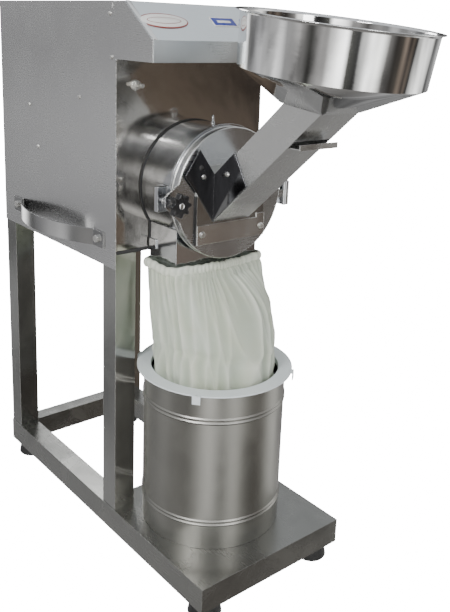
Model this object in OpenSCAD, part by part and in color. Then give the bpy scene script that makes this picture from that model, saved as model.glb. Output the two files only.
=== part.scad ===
// Hammer mill on a cabinet stand: swinging hammers in a drum, fed by a chute and
// hopper on the door, with a cloth sleeve down to a collecting drum.
// Drawn with y = 0 at the front panel and z = 0 under the base rails, and placed
// by placed() so that the origin is under the middle of the machine, on the floor.

/* [Cabinet] */
// Overall width over the side panels
cab_w = 360; // [340:1:380]
// Depth from the front panel to the back panel
cab_d = 494; // [440:1:540]
// Height of the top over the underside of the base
cab_top = 1091; // [1060:1:1130]
// Height of the side panels' lower edge
side_bottom = 584; // [570:1:600]
// Height of the front panel's lower edge
front_bottom = 614; // [608:1:620]
// Thickness of the sheet
sheet = 1.5; // [1:0.1:2]

/* [Base] */
// Height of the base rails
base_h = 52; // [44:1:60]
// Side of the square leg tube
tube = 47; // [40:1:50]
// Wall of the leg tube
tube_wall = 2; // [1.5:0.1:3]
// Length of the platform in front of the legs
platform = 303; // [280:1:330]
// Width of the rear cross rail
rear_rail = 38; // [30:1:45]
// Height of a rubber foot
foot_h = 33; // [20:1:40]
// Radius of a rubber foot at the floor
foot_r = 33; // [25:1:35]

/* [Hood] */
// How far the hood stands out of the front panel
hood_out = 119; // [100:1:130]
// How far the hood's flat top runs ahead of the front panel
hood_top_out = 31; // [20:1:40]
// Height of the hood's underside
lip_bottom = 989; // [980:1:1000]
// Height of the fold between the lip and the slope
lip_top = 1025; // [1015:1:1035]

/* [Mill drum] */
// Height of the shaft
mill_z = 745; // [735:1:755]
// Outer radius of the drum
drum_r = 124; // [122:1:126]
// Wall of the drum
drum_wall = 3; // [2:0.5:4]
// Front end of the drum, ahead of the front panel
drum_out = 106; // [100:1:110]
// Width of the outlet duct
duct_w = 202; // [190:1:206]
// Front face of the outlet duct, ahead of the front panel
duct_out = 93; // [88:1:98]
// Height of the duct's open lower end
duct_bottom = 584; // [580:1:590]

/* [Rotor] */
// Radius of the circle through the hammer pins
pin_circle = 68; // [66:1:70]
// Length of a hammer from its pin to its tip
hammer_len = 44; // [40:1:44]
// Width of a hammer
hammer_w = 22; // [18:1:24]
// Hammers side by side on each pin
hammers_per_pin = 3; // [2:1:3]
// Radius of the main shaft
shaft_r = 12.5; // [12:0.5:13]

/* [Door and feed] */
// Radius of the door
door_r = 127; // [126:1:128]
// Front face of the door, ahead of the front panel
door_face = 128; // [125:1:130]
// Width of the feed chute
chute_w = 90; // [80:1:96]
// Depth of the chute across its slope
chute_h = 65; // [60:1:70]
// Slope of the chute
chute_slope = 41.5; // [38:0.5:44]
// Height of the chute's lowest edge at the door
chute_tip_z = 691; // [685:1:694]
// Height of the neck under the hopper
neck_z = 927.5; // [920:0.5:935]
// Forward lean of the hopper
hopper_lean = 6.1; // [4:0.1:8]
// Sideways lean of the hopper
hopper_roll = 1.5; // [0:0.1:2]
// Radius of the hopper's rim
rim_r = 167.5; // [160:0.5:175]
// Depth of the hopper's upright wall
bowl_h = 85; // [75:1:95]
// Height of the hopper's rim at its centre
rim_z = 1066; // [1055:1:1075]
// Distance of the rim's centre ahead of the front panel
rim_out = 379; // [370:1:390]

/* [Collecting drum] */
// Radius of the collecting drum
can_r = 144; // [138:1:144]
// Height of the collecting drum's top over the base's underside
can_top = 383; // [370:1:395]
// Distance of its centre ahead of the front panel
can_out = 106; // [106:1:120]
// Outer radius of the ring lid
ring_r = 158; // [154:1:160]
// Inner radius of the ring lid
ring_inner = 130; // [128:1:132]

/* [Hidden] */
$fn = 72;
eps = 0.01;
gap = 0.3;             // between pieces that move past each other
run_fit = 0.08;        // radial clearance of a pin or shaft in its hole
half_w = cab_w / 2;
leg_x = half_w - sheet - tube;                 // inner face of a leg
back_y = cab_d - sheet;                        // inner face of the back panel
tray_back = tube;
can_x = -7;
rear_reach = cab_d + 14;                       // the cord gland's nut
rim_roll = 0.3;                                // how far the rolled lip stands past the rim
rim_lift = 2.2;
front_reach = rim_out + (rim_r + rim_roll) * cos(hopper_lean) + rim_lift * sin(hopper_lean);
origin_y = (rear_reach - front_reach) / 2;     // middle of the machine, front to back
lid_z = cab_top - 14;
shelf_z = mill_z - 90;                         // top of the motor shelf
door_z = mill_z - 4;
door_back = -drum_out - 0.4;
seal_back = door_back - 6;
gasket_t = 3;
drum_back = -sheet - gasket_t;
plate_t = 4;
plate_face = -door_face - plate_t;
plate_half = 84;
plate_low = 650;
plate_high = 801;
strip_high = 688;
chute_wall = 1.5;
chute_rise = chute_h / cos(chute_slope);
gate_z = 858;
gate_t = 2;
gate_lip = 10;
hinge_x = 158;
hinge_y = -112;
hinge_low = 700;
hinge_high = 748;
clamp_x = -142;
clamp_z = 739;
handle_z = 634;
handle_ends = [61, 419];
handle_t = 3;
handle_h = 33;
handle_bow = 45;
motor_front = 62;
motor_back = 250;
motor_r = 70;
cap_at = [115, 190];
band_top = 602;
band_low = 581;
band_out = 20;                                 // how far the gathered hem stands out of the duct
bag_low = 348;
stud_at = [-137, 940];
screw_side = [[19, 1068], [12, 990], [354, 871], [133, 907], [316, 783]];
screw_back = [[-150, 620], [150, 620], [-150, 840], [150, 840], [-150, 1060], [150, 1060]];
strip_screws = [[-71.5, 670], [76, 669]];
bracket_screws = [[-77, 748], [-67, 746], [-66, 731]];
knob_back = -148;
knob_front = -163;
disc_back = -26;
disc_front = -88;
disc_t = 6;
neck_y = -348;
neck_half = 49;
cone_wall = 1.6;
bead = 2;
can_low = base_h + gap;
clip_angles = [-51, -141, 129, 39];

// ---- helpers ----

module placed() translate([0, -origin_y, foot_h]) children();

// A cylinder along y, from y0 to y1, on the axis x, z
module rod_y(x, z, y0, y1, r) translate([x, y1, z]) rotate([90, 0, 0]) cylinder(r = r, h = y1 - y0);

module ring_y(x, z, y0, y1, r, bore) difference() {
  rod_y(x, z, y0, y1, r);
  rod_y(x, z, y0 - 1, y1 + 1, bore);
}

// A cylinder along x, from x0 to x1, on the axis y, z
module rod_x(y, z, x0, x1, r) translate([x0, y, z]) rotate([0, 90, 0]) cylinder(r = r, h = x1 - x0);

module block(low, high) translate(low) cube(high - low);

// A profile in y, z drawn out along x
module across(x0, x1) translate([x0, 0, 0]) rotate([90, 0, 90]) linear_extrude(x1 - x0) children();

// A profile in x, z drawn out along y
module along(y0, y1) translate([0, y1, 0]) rotate([90, 0, 0]) linear_extrude(y1 - y0) children();

module box_tube(low, high, axis, wall) difference() {
  block(low, high);
  block([for (i = [0:2]) i == axis ? low[i] - 1 : low[i] + wall],
        [for (i = [0:2]) i == axis ? high[i] + 1 : high[i] - wall]);
}

module both_sides() for (s = [0, 1]) mirror([s, 0, 0]) children();

// Hexagon head and shank along x, the head standing out of x = 0 towards -x
module bolt_x(head_r, head_h, shank_r, shank) {
  rotate([0, -90, 0]) cylinder(r = head_r, h = head_h, $fn = 6);
  rotate([0, 90, 0]) cylinder(r = shank_r, h = shank, $fn = 24);
}

// Round head and shank along y, the head standing out of y = 0 towards -y
module screw_y(head_r, head_h, shank_r, shank) {
  rotate([90, 0, 0]) cylinder(r1 = head_r, r2 = head_r * 0.7, h = head_h, $fn = 24);
  rotate([-90, 0, 0]) cylinder(r = shank_r, h = shank, $fn = 24);
}

// ---- base ----

module tray() color("dimgray") difference() {
  block([-half_w, -platform, 0], [half_w, tray_back, base_h]);
  block([-half_w + 2, -platform + 2, 2], [half_w - 2, tray_back - 2, base_h - 2]);
}

module base_rails() color("gray") {
  both_sides() box_tube([half_w - tube, tray_back, 0], [half_w, cab_d, base_h], 1, tube_wall);
  box_tube([-half_w + tube, cab_d - rear_rail, 0], [half_w - tube, cab_d, base_h], 0, tube_wall);
}

module legs() color("silver") both_sides() {
  for (y = [0, back_y - tube])
    box_tube([leg_x, y, base_h], [leg_x + tube, y + tube, lid_z - 2], 2, tube_wall);
}

module rubber_feet() color([0.06, 0.06, 0.06]) both_sides() {
  for (p = [[143, -266], [143, 458]])
    translate([p[0], p[1], -foot_h]) rotate_extrude() polygon([
      [0, 0], [foot_r - 2, 0], [foot_r, 3], [foot_r - 1, 8],
      [foot_r - 5, foot_h - 2], [foot_r - 7, foot_h], [0, foot_h]
    ]);
}

// ---- cabinet ----

module shelf_bolts(r, z0, z1)
  for (x = [-66, 66], y = [105, 205]) translate([x, y, z0]) cylinder(r = r, h = z1 - z0, $fn = 24);

module motor_shelf() color("slategray") difference() {
  union() {
    block([-half_w + sheet, tube, shelf_z - 3], [half_w - sheet, 380, shelf_z]);
    both_sides() block([half_w - sheet - 3, tube, shelf_z - 40], [half_w - sheet, 380, shelf_z - 3]);
  }
  shelf_bolts(5, shelf_z - 4, shelf_z + 1);
  both_sides() handle_holes();
}

module drum_bolt_places() for (a = [45:90:315]) translate([100 * cos(a), 0, mill_z + 100 * sin(a)]) children();

module drum_bolt_holes() drum_bolt_places() rod_y(0, 0, -20, 20, 4);

module mill_mount_plate() color("gray") difference() {
  block([-leg_x, 0, front_bottom + 6], [leg_x, 5, mill_z + 125]);
  rod_y(0, mill_z, -1, 6, 24);
  drum_bolt_holes();
}

function side_outline() = [
  [cab_d, side_bottom], [-sheet, side_bottom], [-sheet, lip_bottom - sheet],
  [-hood_out, lip_bottom - sheet], [-hood_out, lip_top], [-hood_top_out, cab_top - sheet],
  [cab_d, cab_top - sheet]
];

module side_screw_holes() for (p = screw_side) rod_x(p[0], p[1], half_w - 6, half_w + 1, 2);

module handle_holes() for (y = handle_ends) rod_x(y, handle_z, half_w - 20, half_w + 10, 4);

module side_panel() color("lightgray") difference() {
  across(half_w - sheet, half_w) polygon(side_outline());
  side_screw_holes();
  handle_holes();
}

module side_panel_right() side_panel();

module side_panel_left() mirror([1, 0, 0]) side_panel();

module front_panel() color("gray") difference() {
  block([-half_w + sheet, -sheet, front_bottom], [half_w - sheet, 0, lip_bottom - sheet]);
  rod_y(0, mill_z, -3, 1, 24);
  drum_bolt_holes();
  rod_y(stud_at[0], stud_at[1], -3, 1, 4);
}

module back_panel() color("lightgray") difference() {
  block([-half_w + sheet, back_y, side_bottom], [half_w - sheet, cab_d, cab_top - sheet]);
  for (x = [-60, 0, 60], z = [660:24:900]) block([x - 22, back_y - 1, z], [x + 22, cab_d + 1, z + 7]);
  for (p = screw_back) rod_y(p[0], p[1], back_y - 2, cab_d + 1, 2);
  rod_y(-110, 630, back_y - 2, cab_d + 1, 10);
}

module top_lid() color("silver") difference() {
  block([-half_w - 2, 8, lid_z], [half_w + 2, cab_d + 4, cab_top]);
  block([-half_w, 7, lid_z - 1], [half_w, cab_d + 2, cab_top - sheet]);
}

module hood() color("lightsteelblue") across(-half_w + sheet, half_w - sheet) polygon([
  [8 - gap, cab_top], [-hood_top_out, cab_top], [-hood_out - 1, lip_top + 1],
  [-hood_out - 1, lip_bottom - sheet], [0, lip_bottom - sheet], [0, lip_bottom],
  [-hood_out + 1, lip_bottom], [-hood_out + 1, lip_top], [-hood_top_out, cab_top - 2], [8 - gap, cab_top - 2]
]);

// Places a child on the hood's slope, with its z out of the slope
module on_slope(x, up) {
  run = hood_out + 1 - hood_top_out;
  rise = cab_top - lip_top - 1;
  angle = atan2(rise, run);
  length = sqrt(run * run + rise * rise);
  translate([x, -hood_out - 1, lip_top + 1]) rotate([angle, 0, 0]) translate([0, up * length, 0]) children();
}

module name_plates() {
  color("white") on_slope(-127, 0.49) linear_extrude(1.5)
    polygon([for (a = [0:10:350]) [52 * cos(a), 21 * sin(a)]]);
  color("white") on_slope(12, 0.52) block([-29, -14, 0], [29, 14, 0.9]);
  color("navy") on_slope(12, 0.52) block([-26, -11, 0.9], [26, 11, 1.4]);
}

// ---- handles and fasteners of the cabinet ----

module lift_handles() color("silver") both_sides() difference() {
  translate([half_w, 0, handle_z - handle_h / 2]) linear_extrude(handle_h) handle_outline();
  handle_holes();
}

// The strap seen from above: flat ends on the panel and a bowed grip between
module handle_outline() {
  y0 = handle_ends[0] + 18;
  y1 = handle_ends[1] - 18;
  half = (y1 - y0) / 2;
  r = (half * half + handle_bow * handle_bow) / (2 * handle_bow);
  translate([0, handle_ends[0] - 22]) square([handle_t, 42]);
  translate([0, handle_ends[1] - 20]) square([handle_t, 42]);
  intersection() {
    translate([handle_bow - r, (y0 + y1) / 2]) difference() {
      circle(r = r + handle_t, $fn = 180);
      circle(r = r, $fn = 180);
    }
    translate([0, y0 - 2]) square([handle_bow + 10, y1 - y0 + 4]);
  }
}

module handle_bolts() color("gainsboro") both_sides() for (y = handle_ends)
  translate([half_w + handle_t, y, handle_z]) mirror([1, 0, 0]) bolt_x(8, 5.5, 4, handle_t + 9);

module panel_screws() color("gainsboro") {
  both_sides() for (p = screw_side)
    translate([half_w, p[0], p[1]]) rotate([0, 0, 90]) screw_y(4.5, 2.4, 2, sheet);
  for (p = screw_back) translate([p[0], cab_d, p[1]]) rotate([0, 0, 180]) screw_y(4.5, 2.4, 2, sheet);
}

module panel_stud() color([0.2, 0.2, 0.2]) translate([stud_at[0], 0, stud_at[1]]) {
  rod_y(0, 0, -26, 0, 4);
  rod_y(0, 0, -sheet - 1.5, -sheet, 10);
  rotate([90, 0, 0]) translate([0, 0, sheet + 1.5]) cylinder(r = 8, h = 6.5, $fn = 6);
}

module cord_gland() color([0.07, 0.07, 0.07]) translate([-110, cab_d, 630]) difference() {
  union() {
    rod_y(0, 0, -sheet - 8, 0, 10);
    rod_y(0, 0, 0, 6, 14);
    rotate([-90, 0, 0]) translate([0, 0, 6]) cylinder(r1 = 12, r2 = 8.5, h = 8);
    rotate([90, 0, 0]) translate([0, 0, sheet]) cylinder(r = 14, h = 5, $fn = 6);
  }
  rod_y(0, 0, -20, 20, 4.5);
}

// ---- motor ----

module motor_housing() color("steelblue") difference() {
  union() {
    rod_y(0, mill_z, motor_front + 8, motor_back, motor_r);
    for (a = [-40:10:220]) translate([0, 0, mill_z]) rotate([0, -a, 0])
      block([motor_r - 4, motor_front + 14, -1.5], [motor_r + 10, motor_back - 6, 1.5]);
    both_sides() block([46, 90, shelf_z], [82, 220, shelf_z + 12]);
    both_sides() block([46, 100, shelf_z + 12], [52, 210, mill_z - 38]);
    block([-30, 120, mill_z + 60], [30, 190, mill_z + 82]);
  }
  rod_y(0, mill_z, motor_front, motor_back + 1, motor_r - 8);
  shelf_bolts(5, shelf_z - 1, shelf_z + 13);
}

module motor_end_bells() color("steelblue") {
  difference() {
    union() {
      rod_y(0, mill_z, motor_front, motor_front + 8, motor_r + 4);
      rod_y(0, mill_z, motor_front - 14, motor_front, 30);
    }
    rod_y(0, mill_z, motor_front - 12, motor_front + 9, 22);
    rod_y(0, mill_z, motor_front - 15, motor_front, 14);
  }
  difference() {
    union() {
      rod_y(0, mill_z, motor_back, motor_back + 8, motor_r + 4);
      rod_y(0, mill_z, motor_back + 8, motor_back + 20, 30);
    }
    rod_y(0, mill_z, motor_back - 1, motor_back + 18, 22);
    rod_y(0, mill_z, motor_back, motor_back + 21, 14);
  }
}

module stator_core() color("peru") ring_y(0, mill_z, motor_front + 40, motor_back - 40, motor_r - 8, 40);

module rotor_core() color("gray") ring_y(0, mill_z, motor_front + 42, motor_back - 42, 39, shaft_r);

module motor_bearings() color("gainsboro") for (y = [motor_front - 10, motor_back + 2])
  ring_y(0, mill_z, y, y + 14, 22, shaft_r + run_fit);

module fan_cover() color("steelblue") difference() {
  rod_y(0, mill_z, motor_back + 8, motor_back + 58, motor_r + 6);
  rod_y(0, mill_z, motor_back + 7, motor_back + 56, motor_r + 4);
  for (a = [0:30:330], r = [26, 40, 54]) translate([r * cos(a), 0, mill_z + r * sin(a)])
    rod_y(0, 0, motor_back + 50, motor_back + 60, 4.5);
}

module cooling_fan() color([0.1, 0.1, 0.1]) difference() {
  union() {
    rod_y(0, mill_z, motor_back + 28, motor_back + 32, 62);
    rod_y(0, mill_z, motor_back + 28, motor_back + 46, 20);
    for (a = [0:45:315]) translate([0, 0, mill_z]) rotate([0, a, 0])
      block([18, motor_back + 32, -1.5], [60, motor_back + 48, 1.5]);
  }
  rod_y(0, mill_z, motor_back + 20, motor_back + 50, shaft_r);
}

module terminal_box() color([0.12, 0.12, 0.13]) difference() {
  block([-34, 115, mill_z + 82], [34, 195, mill_z + 120]);
  block([-31, 118, mill_z + 85], [31, 192, mill_z + 117]);
  rod_x(155, mill_z + 100, 20, 40, 8);
}

module start_capacitor() color("whitesmoke") {
  translate([cap_at[0], cap_at[1], shelf_z]) cylinder(r = 22, h = 92);
  for (s = [-1, 1]) translate([cap_at[0] + 8 * s, cap_at[1], shelf_z + 92]) cylinder(r = 3, h = 9, $fn = 24);
}

module mount_bolts() color("gainsboro") {
  shelf_bolts(5, shelf_z - 14, shelf_z + 12);
  for (x = [-66, 66], y = [105, 205]) translate([x, y, 0]) {
    translate([0, 0, shelf_z + 12]) cylinder(r = 9, h = 7, $fn = 6);
    translate([0, 0, shelf_z - 11]) cylinder(r = 9, h = 8, $fn = 6);
  }
  drum_bolt_places() {
    rod_y(0, 0, drum_back - drum_wall, 14, 4);
    translate([0, drum_back - drum_wall, 0]) rotate([90, 0, 0]) cylinder(r = 7.5, h = 5, $fn = 6);
    translate([0, 5, 0]) rotate([-90, 0, 0]) cylinder(r = 7.5, h = 6.5, $fn = 6);
  }
}

// ---- mill drum ----

module drum_gasket() color([0.05, 0.05, 0.05]) difference() {
  union() {
    rod_y(0, mill_z, drum_back, -sheet, drum_r + 2);
    block([-duct_w / 2 - 2, drum_back, front_bottom], [duct_w / 2 + 2, -sheet, mill_z - 70]);
  }
  rod_y(0, mill_z, drum_back - 1, 0, drum_r - 8);
  block([-duct_w / 2 + 5, drum_back - 1, front_bottom - 1], [duct_w / 2 - 5, 0, mill_z - 76]);
}

module mill_drum() color("silver") difference() {
  union() {
    rod_y(0, mill_z, -drum_out + 4, drum_back, drum_r);
    rod_y(0, mill_z, -drum_out, -drum_out + 4, drum_r + 4);
    block([-duct_w / 2, -duct_out, duct_bottom], [duct_w / 2, drum_back, mill_z - 68]);
    both_sides() block([duct_w / 2, -28, 622], [duct_w / 2 + 3, -6, 640]);
    translate([0, -66, mill_z + drum_r - 2]) cylinder(r = 4, h = 6);
    translate([0, -66, mill_z + drum_r + 9]) rotate([90, 0, 45]) rotate_extrude() translate([6, 0]) circle(r = 1.8);
  }
  rod_y(0, mill_z, -drum_out - 1, drum_back - drum_wall, drum_r - drum_wall);
  block([-duct_w / 2 + 2.5, -duct_out + 2.5, duct_bottom - 1], [duct_w / 2 - 2.5, drum_back - drum_wall, mill_z - 78]);
  rod_y(0, mill_z, -20, 0, 22);
  drum_bolt_holes();
  for (p = bracket_screws) rod_x(p[0], p[1], -drum_r - 20, -drum_r + 20, 2.5);
}

module shaft_seal() color([0.15, 0.1, 0.08]) ring_y(0, mill_z, drum_back - 8, drum_back + 1, 21.9, shaft_r + run_fit);

module sieve_screen() color("darkgray") difference() {
  ring_y(0, mill_z, -duct_out + 6, -14, drum_r - drum_wall - gap, drum_r - drum_wall - 2.3);
  block([-150, -120, mill_z], [150, 0, mill_z + 150]);
  for (a = [-140:5:-40]) translate([0, 0, mill_z]) rotate([0, -a, 0])
    block([drum_r - 10, -duct_out + 14, -1.5], [drum_r + 5, -22, 1.5]);
}

// ---- rotor ----

module main_shaft() color("gainsboro") {
  rod_y(0, mill_z, -98, motor_back + 46, shaft_r);
}

module pin_places() for (a = [0:90:270]) translate([pin_circle * sin(a), 0, mill_z + pin_circle * cos(a)]) children();

module rotor_discs() color("darkgray") difference() {
  union() {
    for (y = [disc_back, disc_front]) rod_y(0, mill_z, y, y + disc_t, 78);
    rod_y(0, mill_z, disc_front, disc_back, 20);
  }
  rod_y(0, mill_z, disc_front - 1, disc_back + 10, shaft_r);
  pin_places() rod_y(0, 0, disc_front - 1, disc_back + 10, 5);
}

module hammer_pins() color("gainsboro") pin_places() {
  rod_y(0, 0, disc_front - 3, disc_back + disc_t + 3, 5);
  rod_y(0, 0, disc_front - 3, disc_front, 7);
  rod_y(0, 0, disc_back + disc_t, disc_back + disc_t + 3, 7);
}

module rotor_nut() color("gainsboro") difference() {
  translate([0, disc_front, mill_z]) rotate([90, 0, 0]) cylinder(r = 20, h = 9, $fn = 6);
  rod_y(0, mill_z, disc_front - 20, disc_front + 1, shaft_r);
}

// One row of hammers hanging from its pin, the row numbered clockwise from the top
module hammer_row(n) color("dimgray") {
  a = n * 90;
  pitch = (disc_back - disc_front - disc_t) / hammers_per_pin;
  for (i = [0:hammers_per_pin - 1])
    translate([pin_circle * sin(a), disc_front + disc_t + pitch * (i + 0.5), mill_z + pin_circle * cos(a)])
      difference() {
        union() {
          rod_y(0, 0, -4, 4, hammer_w / 2);
          block([-hammer_w / 2, -4, -hammer_len], [hammer_w / 2, 4, 0]);
        }
        rod_y(0, 0, -5, 5, 5 + run_fit);
      }
}

module hammers_top() hammer_row(0);

module hammers_right() hammer_row(1);

module hammers_bottom() hammer_row(2);

module hammers_left() hammer_row(3);

// ---- clamp and hinge on the drum ----

module clamp_bracket() color("silver") difference() {
  union() {
    block([clamp_x - 10, -102, clamp_z - 22], [-drum_r + 30, -91, clamp_z + 24]);
    block([-drum_r - 3, -91, clamp_z - 22], [-drum_r + 10, -58, clamp_z + 24]);
  }
  rod_y(0, mill_z, -110, 0, drum_r);
  rod_y(clamp_x, clamp_z, -110, -80, 4.35);
  for (p = bracket_screws) rod_x(p[0], p[1], -drum_r - 20, -drum_r + 20, 2.5);
}

module bracket_bolts() color("gainsboro") for (p = bracket_screws) {
  translate([-drum_r - 3, p[0], p[1]]) bolt_x(5.5, 4, 2.5, 3);
}

module hinge_leaf() color("silver") difference() {
  union() {
    block([100, -102, hinge_low], [hinge_x - 5, -96, hinge_high]);
    for (z = [hinge_low, hinge_high - 16]) {
      block([hinge_x - 9, -112, z], [hinge_x, -96, z + 16]);
      translate([hinge_x, hinge_y, z]) cylinder(r = 9, h = 16);
    }
  }
  rod_y(0, mill_z, -110, 0, drum_r);
  block([hinge_x - 14, -125, hinge_low + 16], [hinge_x + 14, -100.5, hinge_high - 16]);
  translate([hinge_x, hinge_y, hinge_low - 1]) cylinder(r = 4, h = 60);
  block([120, -130, hinge_low - 1], [hinge_x - 9.5, -102, hinge_high + 1]);
}

module hinge_pin() color("gainsboro") translate([hinge_x, hinge_y, 0]) {
  translate([0, 0, hinge_low - 2]) cylinder(r = 4, h = hinge_high - hinge_low + 2);
  translate([0, 0, hinge_high]) cylinder(r = 6.5, h = 4);
}

// ---- door ----

module inlet_hole() block([-chute_w / 2 + chute_wall, -140, chute_tip_z + 2],
                          [chute_w / 2 - chute_wall, -100, chute_tip_z + chute_rise - 2]);

module door_pan() color("silver") difference() {
  union() {
    difference() {
      rod_y(0, door_z, -door_face, door_back, door_r);
      rod_y(0, door_z, seal_back, door_back + 1, door_r - 1);
      rod_y(0, door_z, -door_face + 2, door_back + 1, door_r - 16);
    }
    difference() {
      union() {
        block([110, hinge_y - 5, hinge_low + 16 + gap], [hinge_x, hinge_y + 5, hinge_high - 16 - gap]);
        translate([hinge_x, hinge_y, hinge_low + 16 + gap]) cylinder(r = 9, h = hinge_high - hinge_low - 32 - 2 * gap);
      }
      rod_y(0, door_z, -door_face - 1, 0, door_r - 1);
    }
    difference() {
      along(-door_face, -door_face + plate_t) polygon([
        [-118, 775], [clamp_x - 11, clamp_z + 12], [clamp_x - 11, clamp_z - 8], [-112, 690]
      ]);
      rod_y(0, door_z, -door_face - 1, 0, door_r - 1);
    }
  }
  translate([hinge_x, hinge_y, hinge_low]) cylinder(r = 4 + run_fit, h = 60);
  rod_y(clamp_x, clamp_z, -door_face - 1, -door_face + 8, 4.35);
  inlet_hole();
}

module door_seal() color([0.05, 0.05, 0.05])
  ring_y(0, door_z, seal_back, door_back, door_r - 1, door_r - 15);

module strip_screw_holes() for (p = strip_screws) rod_y(p[0], p[1], -140, -door_face + 3, 3);

module door_plate() color("silver") difference() {
  block([-plate_half, plate_face, plate_low], [plate_half, -door_face, plate_high]);
  inlet_hole();
}

module cover_strip() color("gainsboro") difference() {
  union() {
    block([-plate_half + 1, plate_face - 2, plate_low], [plate_half, plate_face, strip_high]);
    block([64, plate_face - 2, strip_high], [plate_half, plate_face, strip_high + 8]);
  }
  strip_screw_holes();
}

module feed_gusset() color([0.22, 0.22, 0.24]) difference() {
  union() {
    along(plate_face - 2, plate_face) polygon([
      [-chute_w / 2, chute_tip_z + 1], [-chute_w / 2, 782], [-82, 833], [-114, 785], [-84, 748]
    ]);
    across(-chute_w / 2 - 2, -chute_w / 2) polygon([
      [plate_face, chute_tip_z + 1], [plate_face, 782], [-189, 833], [-224, 777]
    ]);
  }
  rod_y(-72, 781, -140, -120, 2.5);
  rod_x(-172, 790, -60, -40, 2.5);
}

module door_screws() color("gainsboro") {
  for (p = strip_screws) translate([p[0], plate_face - 2, p[1]]) screw_y(6.5, 4, 3, 2);
  translate([-72, plate_face - 2, 781]) screw_y(5, 3, 2.5, 2);
  translate([-chute_w / 2 - 2, -172, 790]) rotate([0, 0, -90]) screw_y(5, 3, 2.5, 2);
}

// Height of the chute's lower face at a distance y from the front panel
function chute_floor(y) = chute_tip_z + (plate_face - y) * tan(chute_slope);

// Where a line parallel to the chute, raised by up, meets the leaning neck plane
function neck_cut(up) =
  let (y = (neck_z - neck_y * tan(hopper_lean) - chute_tip_z - up - plate_face * tan(chute_slope))
         / (-tan(chute_slope) - tan(hopper_lean)))
  [y, chute_floor(y) + up];

function chute_outline(inset, over) = [
  [plate_face + over, chute_floor(plate_face + over) + inset],
  [plate_face + over, chute_floor(plate_face + over) + chute_rise - inset],
  neck_cut(chute_rise - inset) + [-over * 2, over * 2 * tan(chute_slope)],
  neck_cut(inset) + [-over * 2, over * 2 * tan(chute_slope)]
];

module chute() color("silver") difference() {
  across(-chute_w / 2, chute_w / 2) polygon(chute_outline(0, 0));
  across(-chute_w / 2 + chute_wall, chute_w / 2 - chute_wall)
    polygon(chute_outline(chute_wall / cos(chute_slope), 1));
  block([-chute_w / 2 + 3, -380, gate_z - gap], [chute_w / 2 - 3, -300, gate_z + 13]);
}

// The gate: a flat plate through the chute's lower face, turned up at its front edge
module slide_gate() color("darkgray") {
  block([-chute_w / 2 + 4, -350, gate_z], [chute_w / 2 - 4, -231, gate_z + gate_t]);
  block([-chute_w / 2, -352, gate_z], [chute_w / 2, -350, gate_z + gate_lip]);
}

// The hopper's own frame: z along its axis, the origin at the rim's centre
module hopper_frame() translate([0, -rim_out, rim_z]) rotate([hopper_lean, hopper_roll, 0]) children();

module neck_frame() translate([0, neck_y, neck_z]) rotate([hopper_lean, 0, 0]) children();

// The hopper's lower part, from a circle inside the wall's foot to the square neck
module cone_hull(wall_in) hull() {
  hopper_frame() translate([0, 0, 0.3 - bowl_h]) cylinder(r = rim_r - 13.5 - wall_in, h = 1, $fn = 48);
  neck_frame() translate([-chute_w / 2 + wall_in, -neck_half + wall_in, 0])
    cube([chute_w - 2 * wall_in, 2 * (neck_half - wall_in), 0.5]);
}

module hopper() color("silver") {
  hopper_frame() rotate_extrude($fn = 120) polygon([
    [rim_r - 12.8, -bowl_h], [rim_r - 7, -1.5], [rim_r, 1], [rim_r + rim_roll, rim_lift], [rim_r - 0.5, 3],
    [rim_r - 9, 0.2], [rim_r - 14.3, -bowl_h]
  ]);
  difference() {
    cone_hull(0);
    translate([0, 0, 0.7]) cone_hull(cone_wall);
    neck_frame() block([-chute_w / 2 + 2, -neck_half + 2, -2], [chute_w / 2 - 2, neck_half - 2, 4]);
  }
}

// ---- clamp on the door ----

module clamp_collar() color([0.05, 0.05, 0.05]) ring_y(clamp_x, clamp_z, -112.5, -110, 8, 4.06);

module clamp_screw() color("gainsboro") rod_y(clamp_x, clamp_z, knob_back - 6, -95, 4 - eps);

module clamp_knob() color([0.05, 0.05, 0.05]) difference() {
  union() {
    rod_y(clamp_x, clamp_z, knob_back, -door_face - gap, 10);
    along(knob_front, knob_back) translate([clamp_x, clamp_z]) union() {
      circle(r = 17);
      for (a = [0:45:315]) rotate(a) translate([17, 0]) circle(r = 5.5, $fn = 24);
    }
  }
  rod_y(clamp_x, clamp_z, knob_back - 6, -100, 4);
}

// ---- sleeve and collecting drum ----

// Outline of the duct's lower end with a margin, as a rounded rectangle
module duct_outline(margin) {
  x = duct_w / 2 + margin;
  y0 = -duct_out - margin;
  y1 = drum_back + margin;
  r = 4 + margin;
  translate([-x + r, y0]) square([2 * x - 2 * r, y1 - y0]);
  translate([-x, y0 + r]) square([2 * x, y1 - y0 - 2 * r]);
  for (p = [[-x + r, y0 + r], [x - r, y0 + r], [-x + r, y1 - r], [x - r, y1 - r]])
    translate(p) circle(r = r, $fn = 32);
}

module bag_body(inset) hull() {
  translate([0, 0, band_low - 1]) linear_extrude(1) duct_outline(band_out - inset);
  translate([-3, -84, 500]) cylinder(r = 121 - inset, h = 1, $fn = 48);
  translate([can_x, -can_out, bag_low]) cylinder(r = 120 - inset, h = 1, $fn = 48);
}

module bag() color("ivory") difference() {
  bag_body(0);
  difference() {
    translate([0, 0, -2]) bag_body(2);
    block([-200, -300, 0], [200, 100, bag_low + 2]);
  }
  translate([0, 0, band_low - 5]) linear_extrude(10) duct_outline(band_out - 3);
}

module bag_band() color("beige") translate([0, 0, band_low]) linear_extrude(band_top - band_low) difference() {
  duct_outline(band_out);
  translate([-duct_w / 2 - 1, -duct_out - 1]) square([duct_w + 2, duct_out + drum_back + 2]);
}

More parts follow.
